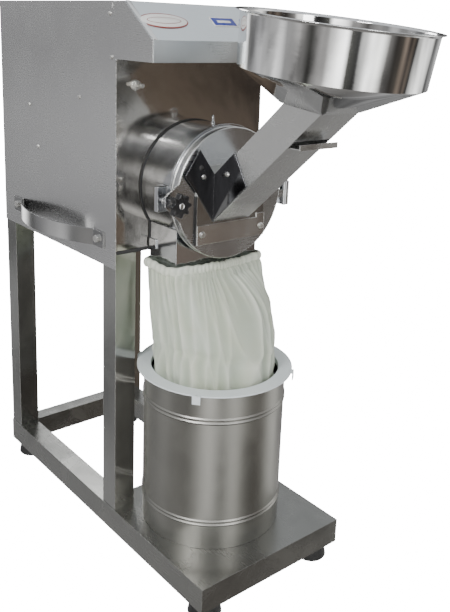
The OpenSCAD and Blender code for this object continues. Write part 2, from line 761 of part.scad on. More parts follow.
module container() color("darkgray") translate([can_x, -can_out, 0]) rotate_extrude($fn = 120) polygon([
  [0, can_low + 5], [can_r - 4, can_low + 5], [can_r - 4, can_low], [can_r, can_low],
  [can_r, 102], [can_r + bead, 105], [can_r, 108], [can_r, 110], [can_r + bead, 113], [can_r, 116],
  [can_r, 320], [can_r + bead, 323], [can_r, 326], [can_r, 328], [can_r + bead, 331], [can_r, 334],
  [can_r, can_top - 3], [can_r + 2, can_top - 2], [can_r + 2, can_top], [can_r - 1.5, can_top],
  [can_r - 1.5, can_low + 6.5], [0, can_low + 6.5]
]);

module ring_lid() color("aliceblue") translate([can_x, -can_out, can_top + gap]) difference() {
  union() {
    cylinder(r = ring_r, h = 3, $fn = 120);
    translate([0, 0, -9]) cylinder(r = can_r - 3, h = 9, $fn = 120);
    for (a = clip_angles) rotate(a) {
      block([can_r + 4, -8, 0], [ring_r + 4, 8, 3]);
      block([ring_r + 2, -8, -14], [ring_r + 4, 8, 0]);
    }
  }
  translate([0, 0, -10]) cylinder(r = ring_inner, h = 20, $fn = 120);
  for (a = clip_angles) rotate(a) translate([can_r + 12, 0, -1]) cylinder(r = 2.2, h = 6, $fn = 24);
}

// ---- one line for each node ----

placed() tray();
placed() base_rails();
placed() legs();
placed() rubber_feet();
placed() motor_shelf();
placed() mill_mount_plate();
placed() side_panel_left();
placed() side_panel_right();
placed() front_panel();
placed() back_panel();
placed() top_lid();
placed() hood();
placed() name_plates();
placed() lift_handles();
placed() handle_bolts();
placed() panel_screws();
placed() panel_stud();
placed() cord_gland();
placed() motor_housing();
placed() motor_end_bells();
placed() stator_core();
placed() motor_bearings();
placed() fan_cover();
placed() terminal_box();
placed() start_capacitor();
placed() mount_bolts();
placed() main_shaft();
placed() rotor_core();
placed() cooling_fan();
placed() drum_gasket();
placed() mill_drum();
placed() shaft_seal();
placed() sieve_screen();
placed() rotor_discs();
placed() hammer_pins();
placed() rotor_nut();
placed() hammers_top();
placed() hammers_right();
placed() hammers_bottom();
placed() hammers_left();
placed() clamp_bracket();
placed() bracket_bolts();
placed() hinge_leaf();
placed() hinge_pin();
placed() door_pan();
placed() door_seal();
placed() door_plate();
placed() cover_strip();
placed() feed_gusset();
placed() door_screws();
placed() chute();
placed() hopper();
placed() slide_gate();
placed() clamp_collar();
placed() clamp_screw();
placed() clamp_knob();
placed() bag();
placed() bag_band();
placed() container();
placed() ring_lid();
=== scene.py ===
"""Looks of a hammer mill on its cabinet stand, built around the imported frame."""
import logging
import math
from dataclasses import dataclass
from enum import Enum
from typing import ClassVar

import bmesh
import bpy
from mathutils import Matrix, Vector


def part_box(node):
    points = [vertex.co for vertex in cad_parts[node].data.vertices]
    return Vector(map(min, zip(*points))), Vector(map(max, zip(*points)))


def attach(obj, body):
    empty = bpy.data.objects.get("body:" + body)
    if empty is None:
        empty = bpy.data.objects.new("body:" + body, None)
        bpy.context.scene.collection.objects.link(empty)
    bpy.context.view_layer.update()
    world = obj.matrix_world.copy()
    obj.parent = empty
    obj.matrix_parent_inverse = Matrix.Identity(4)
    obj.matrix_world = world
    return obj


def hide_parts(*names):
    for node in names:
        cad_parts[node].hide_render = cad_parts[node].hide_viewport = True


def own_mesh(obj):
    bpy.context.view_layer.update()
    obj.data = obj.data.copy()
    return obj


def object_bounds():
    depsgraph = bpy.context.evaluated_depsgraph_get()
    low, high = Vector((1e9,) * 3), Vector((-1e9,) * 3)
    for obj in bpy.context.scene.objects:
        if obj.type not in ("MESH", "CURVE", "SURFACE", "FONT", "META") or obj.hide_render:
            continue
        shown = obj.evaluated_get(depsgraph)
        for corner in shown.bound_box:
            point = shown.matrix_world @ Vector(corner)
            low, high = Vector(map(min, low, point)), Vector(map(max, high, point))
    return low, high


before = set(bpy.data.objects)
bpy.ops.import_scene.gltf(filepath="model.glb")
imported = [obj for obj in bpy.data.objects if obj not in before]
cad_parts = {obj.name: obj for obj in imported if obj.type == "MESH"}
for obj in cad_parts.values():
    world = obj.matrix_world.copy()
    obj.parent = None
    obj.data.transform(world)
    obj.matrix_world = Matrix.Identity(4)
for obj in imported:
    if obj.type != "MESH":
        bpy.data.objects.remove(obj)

CAD_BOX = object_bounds()
MM = 0.001
PANEL_BACK_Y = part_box("front_panel")[1][1]
BASE_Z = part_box("tray")[0][2]
FLOOR_Z = CAD_BOX[0][2]
log = logging.getLogger("mill")


def at(x: float, y: float, z: float) -> Vector:
    """Turns cabinet millimetres (y from the front panel, z from the base) into the frame."""
    return Vector((x * MM, PANEL_BACK_Y + y * MM, BASE_Z + z * MM))


def eased(value: float) -> float:
    """Clamps a value to 0..1 and eases both ends."""
    value = min(1.0, max(0.0, value))
    return value * value * (3 - 2 * value)


class Grain(Enum):
    """Which way a sheet was brushed, as stretches of the noise along X, Y and Z."""

    LENGTHWISE = (260.0, 5.0, 260.0)
    CROSSWISE = (5.0, 260.0, 260.0)
    UPRIGHT = (260.0, 260.0, 5.0)
    NONE = (60.0, 60.0, 60.0)


class Bench:
    """Adds and links the nodes of one shader tree."""

    def __init__(self, tree: bpy.types.NodeTree) -> None:
        """Keeps the tree."""
        self.tree = tree

    def add(self, kind: str, **settings: object) -> bpy.types.Node:
        """Adds a node.

        Args:
            kind: The node's type, without the ShaderNode in front.
            **settings: Attributes to set on it.

        Returns:
            The new node.
        """
        node = self.tree.nodes.new("ShaderNode" + kind)
        for name, value in settings.items():
            setattr(node, name, value)
        return node

    def join(self, source: bpy.types.NodeSocket, target: bpy.types.NodeSocket) -> None:
        """Links an output to an input."""
        self.tree.links.new(source, target)

    def math(self, operation: str, first: object, second: object) -> bpy.types.NodeSocket:
        """Adds a math node fed by sockets or plain numbers, and returns its output."""
        node = self.add("Math", operation=operation)
        for socket, value in zip(node.inputs, (first, second)):
            if isinstance(value, bpy.types.NodeSocket):
                self.join(value, socket)
            else:
                socket.default_value = value
        return node.outputs[0]

    def spread(self, value: bpy.types.NodeSocket, low: float, high: float,
               start: float = 0.35, end: float = 0.65) -> bpy.types.NodeSocket:
        """Maps a noise value from start..end onto low..high, and returns the output."""
        node = self.add("MapRange")
        self.join(value, node.inputs["Value"])
        names = ("From Min", "From Max", "To Min", "To Max")
        for name, number in zip(names, (start, end, low, high)):
            node.inputs[name].default_value = number
        return node.outputs["Result"]

    def blend(self, factor: bpy.types.NodeSocket, low: tuple, high: tuple) -> bpy.types.NodeSocket:
        """Mixes two plain colours by a mask, and returns the colour output."""
        node = self.add("Mix", data_type="RGBA")
        self.join(factor, node.inputs["Factor"])
        node.inputs["A"].default_value = (*low, 1.0)
        node.inputs["B"].default_value = (*high, 1.0)
        return node.outputs["Result"]

    def cover(self, factor: bpy.types.NodeSocket, under: bpy.types.NodeSocket, tone: tuple,
              how: str = "MIX") -> bpy.types.NodeSocket:
        """Lays a plain colour over a colour socket by a mask.

        Args:
            factor: The mask.
            under: The colour that is covered.
            tone: The plain colour.
            how: The way of mixing, such as MIX or MULTIPLY.

        Returns:
            The colour output.
        """
        node = self.add("Mix", data_type="RGBA", blend_type=how)
        self.join(factor, node.inputs["Factor"])
        self.join(under, node.inputs["A"])
        node.inputs["B"].default_value = (*tone, 1.0)
        return node.outputs["Result"]


class SharedEffects:
    """Node groups that several materials use, each built once."""

    def __init__(self) -> None:
        """Starts with nothing built."""
        self.built: dict[str, bpy.types.NodeTree] = {}

    def group(self, name: str, inputs: dict[str, str], outputs: dict[str, str]) -> tuple:
        """Makes a group with its sockets.

        Args:
            name: The group's name.
            inputs: Socket kinds by name, such as Float or Vector.
            outputs: The same for what it puts out.

        Returns:
            The bench, the group's input node and its output node.
        """
        tree = bpy.data.node_groups.new(name, "ShaderNodeTree")
        for label, kind in inputs.items():
            tree.interface.new_socket(name=label, in_out="INPUT", socket_type="NodeSocket" + kind)
        for label, kind in outputs.items():
            tree.interface.new_socket(name=label, in_out="OUTPUT", socket_type="NodeSocket" + kind)
        self.built[name] = tree
        return Bench(tree), tree.nodes.new("NodeGroupInput"), tree.nodes.new("NodeGroupOutput")

    def brushed_grain(self) -> bpy.types.NodeTree:
        """Fine lines along one direction, for brushed sheet."""
        if "brushed_grain" not in self.built:
            bench, source, result = self.group("brushed_grain", {"Stretch": "Vector"},
                                               {"Mask": "Float"})
            place = bench.add("TexCoord")
            stretch = bench.add("VectorMath", operation="MULTIPLY")
            bench.join(place.outputs["Object"], stretch.inputs[0])
            bench.join(source.outputs["Stretch"], stretch.inputs[1])
            noise = bench.add("TexNoise")
            noise.inputs["Scale"].default_value = 5.0
            noise.inputs["Detail"].default_value = 5.0
            bench.join(stretch.outputs[0], noise.inputs["Vector"])
            bench.join(noise.outputs["Fac"], result.inputs["Mask"])
        return self.built["brushed_grain"]

    def cloudy_marks(self) -> bpy.types.NodeTree:
        """Broad cloudy patches from handling and wiping."""
        if "cloudy_marks" not in self.built:
            bench, source, result = self.group("cloudy_marks", {"Scale": "Float"},
                                               {"Mask": "Float"})
            place = bench.add("TexCoord")
            noise = bench.add("TexNoise")
            noise.inputs["Detail"].default_value = 4.0
            noise.inputs["Distortion"].default_value = 0.6
            bench.join(place.outputs["Object"], noise.inputs["Vector"])
            bench.join(source.outputs["Scale"], noise.inputs["Scale"])
            bench.join(bench.spread(noise.outputs["Fac"], 0.0, 1.0), result.inputs["Mask"])
        return self.built["cloudy_marks"]

    def edge_highlight_and_wear(self) -> bpy.types.NodeTree:
        """A rounded normal at sharp edges, and a mask of where they are."""
        if "edge_highlight_and_wear" not in self.built:
            bench, source, result = self.group("edge_highlight_and_wear", {"Radius": "Float"},
                                               {"Normal": "Vector", "Mask": "Float"})
            bevel = bench.add("Bevel", samples=4)
            bench.join(source.outputs["Radius"], bevel.inputs["Radius"])
            flat = bench.add("NewGeometry")
            dot = bench.add("VectorMath", operation="DOT_PRODUCT")
            bench.join(bevel.outputs["Normal"], dot.inputs[0])
            bench.join(flat.outputs["Normal"], dot.inputs[1])
            bench.join(bevel.outputs["Normal"], result.inputs["Normal"])
            turned = bench.spread(dot.outputs["Value"], 1.0, 0.0, 0.8, 0.99)
            bench.join(turned, result.inputs["Mask"])
        return self.built["edge_highlight_and_wear"]

    def place(self, bench: Bench, tree: bpy.types.NodeTree, **values: object) -> bpy.types.Node:
        """Puts a group into a material with its own values, and returns the node."""
        node = bench.add("Group", node_tree=tree)
        for name, value in values.items():
            node.inputs[name].default_value = value
        return node


EFFECTS = SharedEffects()


def new_material(name: str) -> tuple[bpy.types.Material, Bench, bpy.types.Node]:
    """Makes a material.

    Args:
        name: The material's name.

    Returns:
        The material, its bench and its Principled node.
    """
    material = bpy.data.materials.new(name)
    material.use_nodes = True
    bench = Bench(material.node_tree)
    return material, bench, material.node_tree.nodes["Principled BSDF"]


def set_bump(bench: Bench, shader: bpy.types.Node, height: bpy.types.NodeSocket, depth: float,
             normal: bpy.types.NodeSocket | None = None) -> None:
    """Feeds a height through a Bump node of a depth in metres into the shader's normal."""
    bump = bench.add("Bump")
    bump.inputs["Strength"].default_value = 1.0
    bump.inputs["Distance"].default_value = depth
    bench.join(height, bump.inputs["Height"])
    if normal is not None:
        bench.join(normal, bump.inputs["Normal"])
    bench.join(bump.outputs["Normal"], shader.inputs["Normal"])


@dataclass(frozen=True)
class Steel:
    """Stainless or plated metal, from dull satin to a mirror polish."""

    MARKS_SCALE: ClassVar[float] = 11.0
    LINE_ROUGHNESS: ClassVar[float] = 0.015
    LEAST_ROUGHNESS: ClassVar[float] = 0.03

    name: str
    colour: tuple[float, float, float]
    roughness: float
    grain: Grain = Grain.NONE
    grain_depth: float = 0.000008
    wave_depth: float = 0.0002
    wave_scale: float = 5.0
    dullness: float = 0.10
    edge: float = 0.0011
    mottle: float = 0.07

    def material(self) -> bpy.types.Material:
        """Builds the metal from its grain, its cloudy marks and its sharp edges, which get a lighter colour
        as a painted highlight that also stands for wear.
        """
        material, bench, shader = new_material(self.name)
        grain = EFFECTS.place(bench, EFFECTS.brushed_grain(), Stretch=self.grain.value)
        marks = EFFECTS.place(bench, EFFECTS.cloudy_marks(), Scale=self.MARKS_SCALE)
        edge = EFFECTS.place(bench, EFFECTS.edge_highlight_and_wear(), Radius=self.edge)
        shader.inputs["Metallic"].default_value = 1.0
        dark = tuple(part * (1 - self.mottle) for part in self.colour)
        bright = tuple(min(1.0, part * (1 + self.mottle / 2)) for part in self.colour)
        base = bench.blend(marks.outputs["Mask"], dark, bright)
        # Painted highlight: sharp edges get a lighter colour, which also stands for wear.
        edge_highlight_and_wear_tone = tuple(min(1.0, part * 1.25 + 0.05) for part in self.colour)
        bench.join(bench.cover(edge.outputs["Mask"], base, edge_highlight_and_wear_tone), shader.inputs["Base Color"])
        dullest = self.roughness + self.dullness
        patch = bench.spread(marks.outputs["Mask"], self.roughness, dullest, 0.0, 1.0)
        lines = bench.spread(grain.outputs["Mask"], -self.LINE_ROUGHNESS, self.LINE_ROUGHNESS)
        rough = bench.math("MAXIMUM", bench.math("ADD", patch, lines), self.LEAST_ROUGHNESS)
        bench.join(rough, shader.inputs["Roughness"])
        waves = EFFECTS.place(bench, EFFECTS.cloudy_marks(), Scale=self.wave_scale)
        fine = bench.math("MULTIPLY", grain.outputs["Mask"], self.grain_depth / self.wave_depth)
        height = bench.math("ADD", waves.outputs["Mask"], fine)
        set_bump(bench, shader, height, self.wave_depth, edge.outputs["Normal"])
        return material


@dataclass(frozen=True)
class Coating:
    """Paint, rubber or moulded plastic with a fine texture and dust over it."""

    MARKS_SCALE: ClassVar[float] = 18.0
    DUST_TONE: ClassVar[float] = 0.45
    EDGE_WEAR: ClassVar[float] = 0.35

    name: str
    colour: tuple[float, float, float]
    roughness: float
    texture_scale: float = 900.0
    texture_depth: float = 0.00008
    dust: float = 0.15
    edge: float = 0.0009

    def material(self) -> bpy.types.Material:
        """Builds the coat from a speckle, cloudy dust and worn edges."""
        material, bench, shader = new_material(self.name)
        marks = EFFECTS.place(bench, EFFECTS.cloudy_marks(), Scale=self.MARKS_SCALE)
        edge = EFFECTS.place(bench, EFFECTS.edge_highlight_and_wear(), Radius=self.edge)
        dusty = tuple(part + (self.DUST_TONE - part) * self.dust for part in self.colour)
        base = bench.blend(marks.outputs["Mask"], self.colour, dusty)
        edge_highlight_and_wear_tone = tuple(min(1.0, part * 1.3 + 0.08) for part in self.colour)
        wear = bench.math("MULTIPLY", edge.outputs["Mask"], self.EDGE_WEAR)
        bench.join(bench.cover(wear, base, edge_highlight_and_wear_tone), shader.inputs["Base Color"])
        rough = bench.spread(marks.outputs["Mask"], self.roughness, self.roughness + 0.15, 0.0, 1.0)
        bench.join(rough, shader.inputs["Roughness"])
        place = bench.add("TexCoord")
        speckle = bench.add("TexNoise")
        speckle.inputs["Scale"].default_value = self.texture_scale
        speckle.inputs["Detail"].default_value = 2.0
        bench.join(place.outputs["Object"], speckle.inputs["Vector"])
        set_bump(bench, shader, speckle.outputs["Fac"], self.texture_depth, edge.outputs["Normal"])
        return material


@dataclass(frozen=True)
class Cotton:
    """Undyed woven cotton, its threads laid along the piece's own UV map in metres."""

    name: str
    colour: tuple[float, float, float]
    thread: float = 0.0011
    between_threads: tuple[float, float, float] = (0.74, 0.76, 0.67)
    # Painted shade: the colour that each fold's valley is darkened towards.
    painted_valley_shade: tuple[float, float, float] = (0.52, 0.58, 0.52)
    weave_depth: float = 0.0003

    def material(self) -> bpy.types.Material:
        """Builds the cloth from crossing threads, painted shade in each fold's valley and faint meal dust.
        """
        material, bench, shader = new_material(self.name)
        place = bench.add("TexCoord")
        heights = []
        for direction in ("X", "Y"):
            threads = bench.add("TexWave", bands_direction=direction, wave_profile="SIN")
            threads.inputs["Scale"].default_value = 0.314 / self.thread
            threads.inputs["Distortion"].default_value = 1.2
            threads.inputs["Detail"].default_value = 1.0
            bench.join(place.outputs["UV"], threads.inputs["Vector"])
            heights.append(threads.outputs["Fac"])
        weave = bench.math("MAXIMUM", *heights)
        marks = EFFECTS.place(bench, EFFECTS.cloudy_marks(), Scale=14.0)
        warm = tuple(part * tint for part, tint in zip(self.colour, (0.96, 0.95, 0.89)))
        plain = bench.blend(marks.outputs["Mask"], warm, self.colour)
        gaps = bench.math("MULTIPLY", bench.math("SUBTRACT", 1.0, weave), 0.35)
        woven = bench.cover(gaps, plain, self.between_threads, "MULTIPLY")
        # Painted shade: the fold share darkens each valley and leaves the ridges light.
        fold = bench.add("Attribute", attribute_name="fold").outputs["Fac"]
        painted_valley_shade_mask = bench.spread(fold, 0.85, 0.0, 0.0, 1.0)
        shaded = bench.cover(painted_valley_shade_mask, woven, self.painted_valley_shade, "MULTIPLY")
        bench.join(shaded, shader.inputs["Base Color"])
        bench.join(bench.spread(weave, 0.82, 0.95, 0.0, 1.0), shader.inputs["Roughness"])
        shader.inputs["Sheen Weight"].default_value = 0.25
        shader.inputs["Sheen Roughness"].default_value = 0.5
        set_bump(bench, shader, weave, self.weave_depth)
        return material


Finish = Steel | Coating | Cotton


class Finishes:
    """Every finish on the machine, made into a material the first time it is used."""

    SIDE = Steel("side_satin", (0.61, 0.61, 0.61), 0.25, Grain.LENGTHWISE, grain_depth=0.0000015,
                 wave_depth=0.00003, wave_scale=2.0, dullness=0.02, mottle=0.02)
    # Painted shade: the lift strap is the side panel's satin sheet made darker so that it stands apart from
    # the panel.
    STRAP_PAINTED_SHADE = Steel("strap_satin_painted_shade", (0.42, 0.42, 0.42), 0.13, Grain.LENGTHWISE, wave_depth=0.00008,
                  dullness=0.04)
    MIRROR = Steel("front_mirror", (0.52, 0.50, 0.47), 0.09, wave_depth=0.0006, wave_scale=3.2,
                   dullness=0.05)
    HOPPER = Steel("hopper_polish", (0.76, 0.76, 0.76), 0.04, wave_depth=0.00012, dullness=0.03)
    DRUM = Steel("drum_satin", (0.57, 0.58, 0.60), 0.11, Grain.LENGTHWISE, dullness=0.05)
    DOOR = Steel("door_satin", (0.60, 0.61, 0.62), 0.22, Grain.CROSSWISE, dullness=0.06)
    PLATE = Steel("plate_satin", (0.50, 0.50, 0.49), 0.15, Grain.CROSSWISE, dullness=0.08)
    CHUTE = Steel("chute_satin", (0.62, 0.62, 0.61), 0.22, Grain.LENGTHWISE)
    STRIP = Steel("strip_polish", (0.80, 0.80, 0.79), 0.14, Grain.CROSSWISE)
    FRAME = Steel("frame_satin", (0.33, 0.33, 0.315), 0.22, Grain.LENGTHWISE, dullness=0.08)
    LEG = Steel("leg_satin", (0.40, 0.40, 0.385), 0.15, Grain.UPRIGHT, dullness=0.06)
    CAN = Steel("can_satin", (0.31, 0.305, 0.285), 0.34, Grain.UPRIGHT, dullness=0.06)
    HOOD = Steel("hood_satin", (0.75, 0.79, 0.81), 0.28, Grain.CROSSWISE, dullness=0.04,
                 mottle=0.03)
    # Painted shade and painted reflection: the gusset's polished sheet is given a near-black colour for the
    # dark it lies in and mirrors.
    PAINTED_DARK_GUSSET = Steel("gusset_polish_painted_shade", (0.10, 0.10, 0.105), 0.08, wave_depth=0.0004, dullness=0.05)
    MACHINED = Steel("machined", (0.36, 0.36, 0.37), 0.36, Grain.CROSSWISE)
    BRIGHT = Steel("bright_turned", (0.75, 0.75, 0.75), 0.15)
    ZINC = Steel("zinc", (0.72, 0.71, 0.68), 0.22, dullness=0.12)
    COPPER = Steel("copper", (0.70, 0.40, 0.22), 0.40)
    RING = Coating("ring_coat", (0.78, 0.84, 0.86), 0.30, dust=0.05)
    RUBBER = Coating("black_rubber", (0.012, 0.012, 0.012), 0.55, dust=0.03)
    PLASTIC = Coating("black_plastic", (0.010, 0.010, 0.011), 0.18, dust=0.02)
    MOTOR = Coating("motor_enamel", (0.16, 0.24, 0.33), 0.30)
    WHITE = Coating("white_enamel", (0.86, 0.86, 0.84), 0.25, dust=0.04)
    NAVY = Coating("navy_enamel", (0.03, 0.05, 0.32), 0.25, dust=0.03)
    MAROON = Coating("maroon_enamel", (0.30, 0.05, 0.04), 0.25, dust=0.03)
    CLOTH = Cotton("cotton", (0.92, 0.95, 0.86))
    made: dict[str, bpy.types.Material] = {}

    @classmethod
    def get(cls, finish: Finish) -> bpy.types.Material:
        """Returns the finish's material, made once."""
        if finish.name not in cls.made:
            cls.made[finish.name] = finish.material()
        return cls.made[finish.name]


NODE_FINISHES: dict[Finish, tuple[str, ...]] = {
    Finishes.SIDE: ("side_panel_left", "side_panel_right", "back_panel", "top_lid"),
    Finishes.STRAP_PAINTED_SHADE: ("lift_handles",),
    Finishes.MIRROR: ("front_panel",),
    Finishes.HOPPER: ("hopper",),
    Finishes.DRUM: ("mill_drum", "sieve_screen", "clamp_bracket", "hinge_leaf"),
    Finishes.DOOR: ("door_pan",),
    Finishes.PLATE: ("door_plate",),
    Finishes.CHUTE: ("chute", "slide_gate"),
    Finishes.STRIP: ("cover_strip",),
    Finishes.FRAME: ("tray", "base_rails", "motor_shelf", "mill_mount_plate"),
    Finishes.LEG: ("legs",),
    Finishes.CAN: ("container",),
    Finishes.HOOD: ("hood",),
    Finishes.PAINTED_DARK_GUSSET: ("feed_gusset",),
    Finishes.MACHINED: ("rotor_core", "rotor_discs", "hammers_top", "hammers_right",
                        "hammers_bottom", "hammers_left"),
    Finishes.BRIGHT: ("motor_bearings", "main_shaft", "hammer_pins", "hinge_pin", "clamp_collar",
                      "clamp_screw"),
    Finishes.ZINC: ("handle_bolts", "panel_screws", "panel_stud", "mount_bolts", "rotor_nut",
                    "bracket_bolts", "door_screws"),
    Finishes.COPPER: ("stator_core",),
    Finishes.RING: ("ring_lid",),
    Finishes.RUBBER: ("rubber_feet", "drum_gasket", "shaft_seal", "door_seal"),
    Finishes.PLASTIC: ("cord_gland", "terminal_box", "cooling_fan", "clamp_knob"),
    Finishes.MOTOR: ("motor_housing", "motor_end_bells", "fan_cover"),
    Finishes.WHITE: ("start_capacitor", "name_plates"),
    Finishes.CLOTH: ("bag", "bag_band"),
}


def dress_nodes() -> None:
    """Gives every carried-over node its finish."""
    for finish, names in NODE_FINISHES.items():
        for name in names:
            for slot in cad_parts[name].material_slots:
                slot.material = Finishes.get(finish)
    left = set(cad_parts) - {name for names in NODE_FINISHES.values() for name in names}
    log.info("dressed %d nodes, %s left", len(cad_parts), sorted(left))


def make_piece(name: str, bm: bmesh.types.BMesh, finish: Finish, body: str,
               replaces: tuple[str, ...] = (), fold: float = 35.0) -> bpy.types.Object:
    """Turns a bmesh into a dressed piece that rides on a body.

    Args:
        name: The piece's name.
        bm: The finished mesh, which is freed.
        finish: What it is dressed in.
        body: The body it rides on.
        replaces: Nodes that it stands for.
        fold: Edges sharper than this many degrees stay sharp.

    Returns:
        The new object.
    """
    mesh = bpy.data.meshes.new(name)
    bm.to_mesh(mesh)
    bm.free()
    mesh.polygons.foreach_set("use_smooth", [True] * len(mesh.polygons))
    mesh.set_sharp_from_angle(angle=math.radians(fold))
    mesh.materials.append(Finishes.get(finish))
    piece = bpy.data.objects.new(name, mesh)
    bpy.context.collection.objects.link(piece)
    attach(piece, body)
    if replaces:
        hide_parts(*replaces)
    log.info("%s: %d faces", name, len(mesh.polygons))
    return piece


def soften(bm: bmesh.types.BMesh, width: float, segments: int = 2, angle: float = 0.6) -> None:
    """Bevels every edge that turns by more than an angle in radians."""
    sharp = [e for e in bm.edges if len(e.link_faces) == 2 and e.calc_face_angle(0.0) > angle]
    bmesh.ops.bevel(bm, geom=sharp, offset=width, segments=segments, profile=0.5, affect="EDGES",
                    material=-1, clamp_overlap=True)


def bar(low: Vector, high: Vector, edge: float) -> bmesh.types.BMesh:
    """Makes a bar between two corners with softened edges."""
    bm = bmesh.new()
    bmesh.ops.create_cube(bm, size=1.0)
    size = high - low
    bmesh.ops.scale(bm, vec=size, verts=bm.verts)
    bmesh.ops.translate(bm, vec=(low + high) / 2, verts=bm.verts)
    soften(bm, edge)
    return bm


def spun(outline: list[tuple[float, float]], steps: int, closed: bool = True) -> bmesh.types.BMesh:
    """Spins an outline of (radius, height) in millimetres about Z.

    Args:
        outline: The outline's points.
        steps: Steps of a full turn.
        closed: Whether the last point joins the first.

    Returns:
        The spun mesh, its normals outwards.
    """
    bm = bmesh.new()
    points = [bm.verts.new((radius * MM, 0.0, height * MM)) for radius, height in outline]
    ends = points[1:] + points[:1] if closed else points[1:]
    edges = [bm.edges.new(pair) for pair in zip(points, ends)]
    bmesh.ops.spin(bm, geom=points + edges, cent=(0, 0, 0), axis=(0, 0, 1), angle=math.tau,
                   steps=steps, use_merge=True)
    bmesh.ops.remove_doubles(bm, verts=bm.verts, dist=1e-6)
    bmesh.ops.recalc_face_normals(bm, faces=bm.faces)
    return bm


def join_into(target: bmesh.types.BMesh, source: bmesh.types.BMesh) -> None:
    """Adds a mesh to another one and frees it."""
    scratch = bpy.data.meshes.new("scratch")
    source.to_mesh(scratch)
    source.free()
    target.from_mesh(scratch)
    bpy.data.meshes.remove(scratch)


def cloth_tube(columns: int, cuts: int) -> tuple:
    """Makes a plain open tube to be shaped into cloth, 1 m high and of 1 m radius.

    Args:
        columns: Faces round the tube.
        cuts: Cuts along its height.

    Returns:
        The mesh, its UV layer and its layer of fold heights.
    """
    bm = bmesh.new()
    bmesh.ops.create_cone(bm, cap_ends=False, segments=columns, radius1=1.0, radius2=1.0, depth=1.0)
    upright = [e for e in bm.edges if abs(e.verts[0].co.z - e.verts[1].co.z) > 0.5]
    bmesh.ops.subdivide_edges(bm, edges=upright, cuts=cuts, use_grid_fill=True)
    return bm, bm.loops.layers.uv.new("weave"), bm.verts.layers.float.new("fold")


@dataclass
class Hopper:
    """The round bowl, its rolled rim and its folded square foot."""

    rim_y: float = -379.0
    rim_z: float = 1066.0
    neck_y: float = -348.0
    neck_z: float = 927.5
    rim_radius: float = 167.5
    wall_radius: float = 160.4
    foot_radius: float = 154.7
    depth: float = 85.0
    lean: float = math.radians(6.1)
    roll: float = math.radians(1.5)
    neck_half_width: float = 45.0
    neck_half_length: float = 49.0
    steps: int = 128
    sheet: float = 0.0015

    def build(self) -> None:
        """Spins the bowl, bridges it to the square neck and thickens the sheet."""
        place = Matrix.Translation(at(0, self.rim_y, self.rim_z)) @ Matrix.Rotation(self.roll, 4, "Y")
        lean = Matrix.Rotation(self.lean, 4, "X")
        place = place @ lean
        neck = Matrix.Translation(at(0, self.neck_y, self.neck_z)) @ lean
        top = self.rim_radius
        bm = spun([(self.foot_radius, -self.depth), (self.foot_radius + 1.9, -self.depth * 0.66),
                   (self.foot_radius + 3.8, -self.depth * 0.33), (self.wall_radius, -2.4),
                   (self.wall_radius + 0.9, -0.9), (self.wall_radius + 2.4, -0.1), (top - 2.6, 0.5),
                   (top - 0.9, 0.6), (top + 0.1, 1.5), (top - 0.5, 2.6), (top - 2.0, 2.8)],
                  self.steps, closed=False)
        foot = [e for e in bm.edges if e.is_boundary and e.verts[0].co.z < -self.depth * MM * 0.9]
        corners = bmesh.ops.create_circle(bm, segments=self.steps, radius=1.0)["verts"]
        to_local = place.inverted() @ neck
        for vert in corners:
            across, along = vert.co.x, vert.co.y
            side_x = 0.0 if abs(across) < 1e-4 else math.copysign(self.neck_half_width * MM, across)
            side_y = 0.0 if abs(along) < 1e-4 else math.copysign(self.neck_half_length * MM, along)
            vert.co = to_local @ Vector((side_x, side_y, 0.0))
        ring = [e for e in bm.edges if all(v in set(corners) for v in e.verts)]
        bmesh.ops.bridge_loops(bm, edges=foot + ring)
        bmesh.ops.remove_doubles(bm, verts=bm.verts, dist=1e-5)
        bmesh.ops.dissolve_degenerate(bm, edges=bm.edges, dist=1e-6)
        bmesh.ops.recalc_face_normals(bm, faces=bm.faces)
        bmesh.ops.transform(bm, matrix=place, verts=bm.verts)
        piece = make_piece("hopper_bowl", bm, Finishes.HOPPER, "door",
                           ("hopper",), 12.0)
        wall = piece.modifiers.new("sheet", "SOLIDIFY")
        wall.thickness = self.sheet
        wall.offset = -1.0


@dataclass
class StarKnob:
    """The black lobed hand knob with its metal insert."""

    lobes: int = 8
    radius: float = 19.3
    swell: float = 3.2
    thickness: float = 15.0
    face_y: float = -163.0
    x: float = -142.0
    z: float = 739.0

    def build(self) -> None:
        """Builds the grip and the hub as one moulding, then the insert."""
        turn = Matrix.Rotation(-math.pi / 2, 4, "X")
        turn = Matrix.Translation(at(self.x, self.face_y, self.z)) @ turn
        grip = bmesh.new()
        outline = bmesh.ops.create_circle(grip, cap_ends=True, segments=96, radius=1.0)["verts"]
        for vert in outline:
            angle = math.atan2(vert.co.y, vert.co.x)
            reach = (self.radius + self.swell * math.cos(self.lobes * angle)) * MM
            vert.co = Vector((math.cos(angle), math.sin(angle), 0.0)) * reach
        rim = bmesh.ops.extrude_face_region(grip, geom=list(grip.faces))
        raised = [v for v in rim["geom"] if isinstance(v, bmesh.types.BMVert)]
        bmesh.ops.translate(grip, vec=(0, 0, self.thickness * MM), verts=raised)
        bmesh.ops.recalc_face_normals(grip, faces=grip.faces)
        soften(grip, 0.0026, 4, 1.0)
        top = self.thickness
        hub = spun([(0.0, top - 1), (12.5, top - 1), (11, top + 4), (9.5, top + 14), (9, top + 19.7),
                    (0.0, top + 19.7)], 48, closed=False)
        join_into(grip, hub)
        bmesh.ops.transform(grip, matrix=turn, verts=grip.verts)
        make_piece("star_knob_grip", grip, Finishes.PLASTIC, "clamp",
                   ("clamp_knob",))
        insert = spun([(0.0, -1.0), (4.6, -1.0), (5.6, -0.4), (6.2, 1.5), (0.0, 1.5)], 40,
                      closed=False)
        bmesh.ops.transform(insert, matrix=turn, verts=insert.verts)
        make_piece("star_knob_insert", insert, Finishes.BRIGHT, "clamp")


